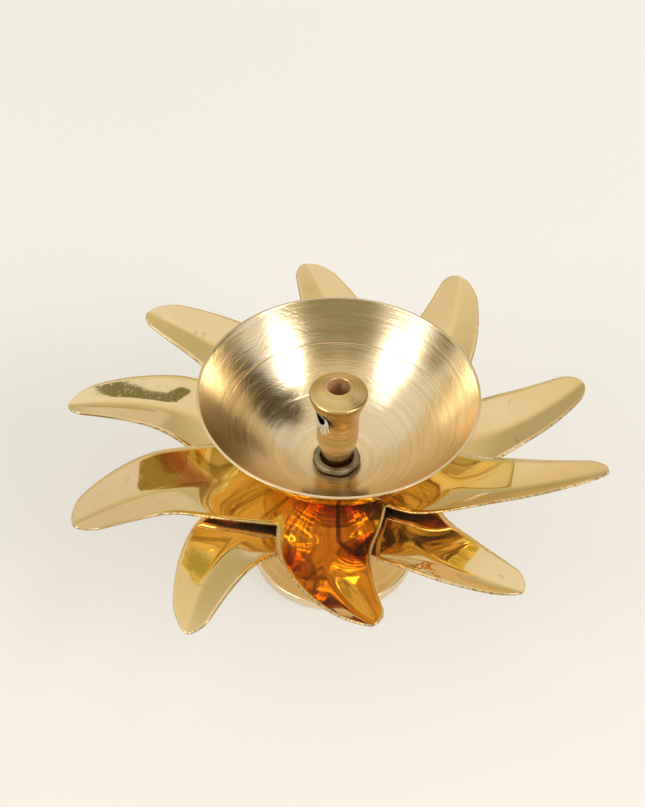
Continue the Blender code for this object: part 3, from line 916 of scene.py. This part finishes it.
def holder_profile():
    """Wick holder from the spigot's tip up the outside and down the wick hole to its floor."""
    low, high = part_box("wick_holder")
    tip, top = low[2], high[2]
    neck = tip + SPIGOT_LENGTH
    hole = top - WICK_HOLE_DEPTH
    turns = int((neck - tip - SPIGOT_PLAIN) / THREAD_PITCH)
    return [
        (0.0, tip, 0),
        (2.3 * MM, tip, 0.1 * MM),
        *thread_points(tip + THREAD_START, turns, THREAD_CREST, THREAD_ROOT),
        (2.9 * MM, neck - 2.0 * MM, 0.1 * MM),
        (2.9 * MM, neck - 0.4 * MM, 0.1 * MM),
        (3.1 * MM, neck, 0.2 * MM),
        (4.3 * MM, neck + 4.6 * MM, 1.2 * MM),
        (4.65 * MM, neck + 6.0 * MM, 0.7 * MM),
        (4.65 * MM, neck + 13.0 * MM, 1.0 * MM),
        (4.95 * MM, neck + 14.6 * MM, 0.8 * MM),
        (5.6 * MM, neck + 16.6 * MM, 0.9 * MM),
        (6.25 * MM, neck + 18.4 * MM, 0.4 * MM),
        (6.45 * MM, neck + 19.0 * MM, 0.3 * MM),
        (6.45 * MM, neck + 19.4 * MM, 0.2 * MM),
        (6.2 * MM, neck + 19.7 * MM, 0.3 * MM),
        (WICK_HOLE_RADIUS + 0.25 * MM, top, 0.15 * MM),
        (WICK_HOLE_RADIUS, top - 0.25 * MM, 0.15 * MM),
        (WICK_HOLE_RADIUS, hole + WICK_HOLE_DRILL_POINT, 0.2 * MM),
        (0.0, hole, 0),
    ]


def washer_profile(node, outer):
    """Flat ring with softened edges, at a CAD node's height."""
    bottom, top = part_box(node)[0][2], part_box(node)[1][2]
    return [
        (CLEARANCE_RADIUS, bottom, RING_ROUNDING),
        (outer, bottom, RING_ROUNDING),
        (outer, top, RING_ROUNDING),
        (CLEARANCE_RADIUS, top, RING_ROUNDING),
    ]


def screw_profile():
    """Pan-head screw, head down, with a threaded shank."""
    low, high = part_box("foot_screw")
    bottom, tip, head = low[2], high[2], high[0]
    turns = int((tip - SCREW_HEAD_TOP - SHANK_PLAIN) / THREAD_PITCH)
    return [
        (0.0, bottom, 0),
        (head - 1.8 * MM, bottom, 0.9 * MM),
        (head - 0.6 * MM, bottom + 0.4 * MM, 0.5 * MM),
        (head, SCREW_HEAD_TOP - 1.0 * MM, 0.5 * MM),
        (head, SCREW_HEAD_TOP, 0.1 * MM),
        (2.9 * MM, SCREW_HEAD_TOP, 0.1 * MM),
        *thread_points(SCREW_HEAD_TOP + THREAD_START, turns, THREAD_ROOT, THREAD_CREST),
        (2.3 * MM, tip, 0.2 * MM),
        (0.0, tip, 0),
    ]


def nut_profile():
    """Blank of the hexagonal locknut, with both ends and the hole chamfered."""
    low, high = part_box("bowl_locknut")
    bottom, top = low[2], high[2]
    return [
        (NUT_HOLE_RADIUS, bottom, 0.05 * MM),
        (NUT_HALF_CORNERS - NUT_CHAMFER, bottom, 0.2 * MM),
        (NUT_HALF_CORNERS, bottom + NUT_CHAMFER / 2, 0.1 * MM),
        (NUT_HALF_CORNERS, top - NUT_CHAMFER, 0.2 * MM),
        (NUT_HALF_CORNERS - NUT_CHAMFER, top, 0.2 * MM),
        (NUT_HOLE_RADIUS + NUT_CHAMFER, top, 0.15 * MM),
        (NUT_HOLE_RADIUS, top - NUT_CHAMFER, 0.15 * MM),
    ]


def cylinder(radius, depth, sides, matrix):
    """A closed cylinder to cut with."""
    bm = bmesh.new()
    bmesh.ops.create_cone(
        bm, cap_ends=True, segments=sides, radius1=radius, radius2=radius, depth=depth, matrix=matrix
    )
    return bm


def build_locknut(material):
    """Turned blank cut to six flats."""
    nut = turned_piece("locknut_fine", nut_profile(), material, "bowl_locknut")
    low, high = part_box("bowl_locknut")
    middle = Matrix.Translation((0, 0, (low[2] + high[2]) / 2))
    place = middle @ Matrix.Rotation(NUT_ANGLE, 4, "Z")
    corner = NUT_HALF_FLATS / math.cos(math.pi / NUT_SIDES)
    cut(nut, cylinder(corner, NUT_CUTTER_DEPTH, NUT_SIDES, place), "INTERSECT")


def build_wick_holder(material):
    """Turned wick holder, drilled across for the oil."""
    holder = turned_piece(
        "wick_holder_fine",
        holder_profile(),
        material,
        "wick_holder",
        body="wick_holder",
        closed=False,
    )
    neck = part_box("wick_holder")[0][2] + SPIGOT_LENGTH
    out = Vector((math.cos(INLET_ANGLE), math.sin(INLET_ANGLE), 0))
    middle = out * (INLET_LENGTH / 2) + Vector((0, 0, neck + INLET_HEIGHT))
    turn = Matrix.Rotation(INLET_ANGLE, 4, "Z") @ Matrix.Rotation(math.pi / 2, 4, "Y")
    drill = cylinder(INLET_RADIUS, INLET_LENGTH, DRILL_SIDES, Matrix.Translation(middle) @ turn)
    cut(holder, drill, "DIFFERENCE")


def holder_radius(height):
    """Outside radius of the wick holder at a height above its neck."""
    above = height / MM
    for (low, a), (high, b) in zip(HOLDER_STEPS, HOLDER_STEPS[1:]):
        if low <= above <= high:
            return (a + (b - a) * (above - low) / (high - low)) * MM
    return HOLDER_STEPS[-1][1] * MM


def flake(bm, root, along, out, length, width):
    """A torn sliver of metal, bent away from the surface, as a closed thin strip."""
    side = along.cross(out).normalized()
    last = None
    for t in SLIVER_STAGES:
        middle = root + along * length * t
        middle += out * length * (SLIVER_OUT_ROOT + SLIVER_OUT_TIP * t * t)
        grain = 1 + SLIVER_UNEVEN * noise.noise(middle * SLIVER_GRAIN)
        half = width * (1 - SLIVER_TAPER * t) * grain / 2
        row = []
        for a, b in SLIVER_CORNERS:
            row.append(bm.verts.new(middle + side * a * half + out * b * SLIVER_HALF_THICKNESS))
        if last is None:
            bm.faces.new(row[::-1])
        else:
            for j in range(4):
                bm.faces.new((last[j], last[(j + 1) % 4], row[(j + 1) % 4], row[j]))
        last = row
    bm.faces.new(last)


def build_burr(material):
    """Ragged slivers that the drill left round the oil inlet, longest below it."""
    draw = random.Random(BURR_SEED)
    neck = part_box("wick_holder")[0][2] + SPIGOT_LENGTH
    bm = bmesh.new()
    for i in range(BURR_SLIVERS):
        around = math.tau * (i + BURR_SCATTER * draw.random()) / BURR_SLIVERS
        long_side = max(0.0, math.cos(around - BURR_DIRECTION))
        height = INLET_HEIGHT + (INLET_RADIUS + BURR_OUTSET) * math.sin(around)
        radius = holder_radius(height) - BURR_SINK
        angle = INLET_ANGLE + INLET_RADIUS * math.cos(around) / radius
        out = Vector((math.cos(angle), math.sin(angle), 0))
        tangent = Vector((-out.y, out.x, 0))
        root = out * radius + Vector((0, 0, neck + height))
        lean = BURR_LEAN * math.cos(around) + draw.uniform(-BURR_LEAN_SPREAD, BURR_LEAN_SPREAD)
        along = tangent * lean + Vector((0, 0, math.sin(around) - long_side))
        length = SLIVER_SHORTEST + SLIVER_SPREAD * draw.random()
        length += long_side * draw.uniform(*SLIVER_LONG)
        width = draw.uniform(*SLIVER_WIDTHS) * MM
        flake(bm, root, along.normalized(), out, length * MM, width)
    bmesh.ops.recalc_face_normals(bm, faces=bm.faces)
    mesh = bpy.data.meshes.new("inlet_burr")
    bm.to_mesh(mesh)
    bm.free()
    mesh.materials.append(material)
    burr = bpy.data.objects.new("inlet_burr", mesh)
    bpy.context.scene.collection.objects.link(burr)
    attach(burr, "wick_holder")


def build_screw(material):
    """Foot screw with a straight slot across its head."""
    screw = turned_piece(
        "foot_screw_fine", screw_profile(), material, "foot_screw", closed=False
    )
    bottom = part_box("foot_screw")[0][2]
    slot = bmesh.new()
    size = Matrix.Diagonal((*SLOT_SIZE, 1))
    bmesh.ops.create_cube(slot, size=1.0, matrix=Matrix.Translation((0, 0, bottom)) @ size)
    cut(screw, slot, "DIFFERENCE")


# ---------------------------------------------------------------- stage


def turn_about(vector, axis, angle):
    """A vector turned about an axis."""
    return Matrix.Rotation(angle, 3, axis) @ vector


def build_camera():
    """Camera that looks down on the lamp from the front, slightly rolled and off centre."""
    target = Vector((0, 0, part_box("oil_bowl")[1][2]))
    back = Vector((0, -math.cos(ELEVATION), math.sin(ELEVATION)))
    right = Vector((1, 0, 0))
    up = back.cross(right)
    rolled = math.cos(ROLL) * right + math.sin(ROLL) * up
    up = math.cos(ROLL) * up - math.sin(ROLL) * right
    ahead = turn_about(-back, up, AIM_RIGHT)
    rolled = turn_about(rolled, up, AIM_RIGHT)
    ahead = turn_about(ahead, rolled, -AIM_UP)
    up = turn_about(up, rolled, -AIM_UP)
    data = bpy.data.cameras.new("camera")
    data.sensor_width = SENSOR
    data.lens = LENS
    data.clip_start = CLIP_START
    camera = bpy.data.objects.new("camera", data)
    axes = Matrix((rolled, up, -ahead)).transposed().to_4x4()
    camera.matrix_world = Matrix.Translation(target + back * CAMERA_DISTANCE) @ axes
    bpy.context.scene.collection.objects.link(camera)
    bpy.context.scene.camera = camera


def soft_box(name, direction, distance, width, height, radiance, roll=0.0):
    """Rectangular area light that faces the lamp. radiance is what a mirror would show."""
    data = bpy.data.lights.new(name, "AREA")
    data.shape = "RECTANGLE"
    data.size, data.size_y = width, height
    data.energy = radiance * math.pi * width * height
    data.color = LIGHT_COLOUR
    light = bpy.data.objects.new(name, data)
    way = Vector(direction).normalized()
    light.location = way * distance
    light.rotation_mode = "QUATERNION"
    rolled = Quaternion((0, 0, 1), math.radians(roll))
    light.rotation_quaternion = way.to_track_quat("Z", "Y") @ rolled
    bpy.context.scene.collection.objects.link(light)
    return light


def towards(azimuth, elevation):
    """Unit vector at degrees round from the front (+ is the lamp's right) and up from level."""
    azimuth, elevation = math.radians(azimuth), math.radians(elevation)
    level = math.cos(elevation)
    return Vector((level * math.sin(azimuth), -level * math.cos(azimuth), math.sin(elevation)))


def build_world():
    """Pale room, brighter with height, with a few paler and darker patches."""
    world = bpy.data.worlds.new("room")
    world.use_nodes = True
    bpy.context.scene.world = world
    tree = world.node_tree
    nodes, links = tree.nodes, tree.links
    background = nodes["Background"]
    place = nodes.new("ShaderNodeTexCoord").outputs["Generated"]
    split = nodes.new("ShaderNodeSeparateXYZ")
    links.new(place, split.inputs[0])
    ramp = nodes.new("ShaderNodeValToRGB")
    links.new(split.outputs["Z"], ramp.inputs["Fac"])
    while len(ramp.color_ramp.elements) < len(ROOM_BY_HEIGHT):
        ramp.color_ramp.elements.new(0.5)
    for element, (height, tone) in zip(ramp.color_ramp.elements, ROOM_BY_HEIGHT):
        element.position = height
        element.color = (*tone, 1.0)
    colour = ramp.outputs["Color"]
    for azimuth, elevation, inner, outer, tone in ROOM_PATCHES:
        dot = nodes.new("ShaderNodeVectorMath")
        dot.operation = "DOT_PRODUCT"
        links.new(place, dot.inputs[0])
        dot.inputs[1].default_value = towards(azimuth, elevation)
        ease = nodes.new("ShaderNodeMapRange")
        ease.interpolation_type = "SMOOTHSTEP"
        ease.inputs["From Min"].default_value = math.cos(math.radians(outer))
        ease.inputs["From Max"].default_value = math.cos(math.radians(inner))
        links.new(dot.outputs["Value"], ease.inputs["Value"])
        mix = nodes.new("ShaderNodeMix")
        mix.data_type = "RGBA"
        links.new(ease.outputs["Result"], mix.inputs["Factor"])
        links.new(colour, mix.inputs["A"])
        mix.inputs["B"].default_value = (*tone, 1.0)
        colour = mix.outputs["Result"]
    links.new(colour, background.inputs["Color"])
    background.inputs["Strength"].default_value = 1.0


def build_floor():
    """Large plain floor that the lamp stands on."""
    bm = bmesh.new()
    bmesh.ops.create_grid(bm, x_segments=4, y_segments=4, size=FLOOR_HALF_WIDTH)
    mesh = bpy.data.meshes.new("floor")
    bm.to_mesh(mesh)
    bm.free()
    mesh.materials.append(floor_material())
    floor = bpy.data.objects.new("floor", mesh)
    bpy.context.scene.collection.objects.link(floor)


def main():
    """Make the stage, then every piece of the lamp."""
    bpy.context.scene.view_settings.view_transform = "Standard"
    bpy.context.scene.cycles.glossy_bounces = LIGHT_BOUNCES
    bpy.context.scene.cycles.max_bounces = LIGHT_BOUNCES
    build_camera()
    build_world()
    build_floor()
    for name, azimuth, elevation, width, height, radiance, roll in WINDOWS:
        way = towards(azimuth, elevation)
        soft_box(name, way, WINDOW_DISTANCE, width, height, radiance, roll)
    key = soft_box("key", KEY_DIRECTION, KEY_DISTANCE, KEY_WIDTH, KEY_WIDTH, KEY_RADIANCE)
    key.visible_glossy = False

    faces, edges = polished_brass(), sheared_brass()
    bowl_metal = rubbed_brass()
    painted_reflection_metal = buffed_brass_painted_reflections()
    lathe_metal = turned_brass("lathe_brass", roughness=0.26, groove=GROOVE, brushing=0.6)
    foot_metal = turned_brass("foot_brass", roughness=0.13, groove=FOOT_GROOVE, brushing=0.7)
    steel = aged_steel()
    seal = rubber()

    washer = washer_profile("foot_washer", WASHER_RADIUS)
    spacer = washer_profile("plate_spacer", SPACER_RADIUS)
    gasket = washer_profile("bowl_gasket", GASKET_RADIUS)
    turned_piece("foot_fine", foot_profile(), foot_metal, "foot")
    turned_piece("stem_fine", stem_profile(), lathe_metal, "stem")
    turned_piece("foot_washer_fine", washer, steel, "foot_washer")
    turned_piece("plate_spacer_fine", spacer, lathe_metal, "plate_spacer")
    turned_piece("bowl_gasket_fine", gasket, seal, "bowl_gasket")
    bowl = turned_piece("oil_bowl_fine", bowl_profile(), bowl_metal, "oil_bowl")
    buff_underside(bowl, painted_reflection_metal)
    build_locknut(steel)
    build_screw(steel)
    build_wick_holder(holder_brass_shaded_inlet())
    build_burr(torn_metal())
    plates = (
        ("lower_petals_fine", "lower_petal_plate", "lower_flower", LOWER_PETALS, LOWER_ROOT_ANGLE),
        ("upper_petals_fine", "upper_petal_plate", "upper_flower", UPPER_PETALS, UPPER_ROOT_ANGLE),
    )
    for plate in plates:
        petal_plate(*plate, faces, edges)


main()
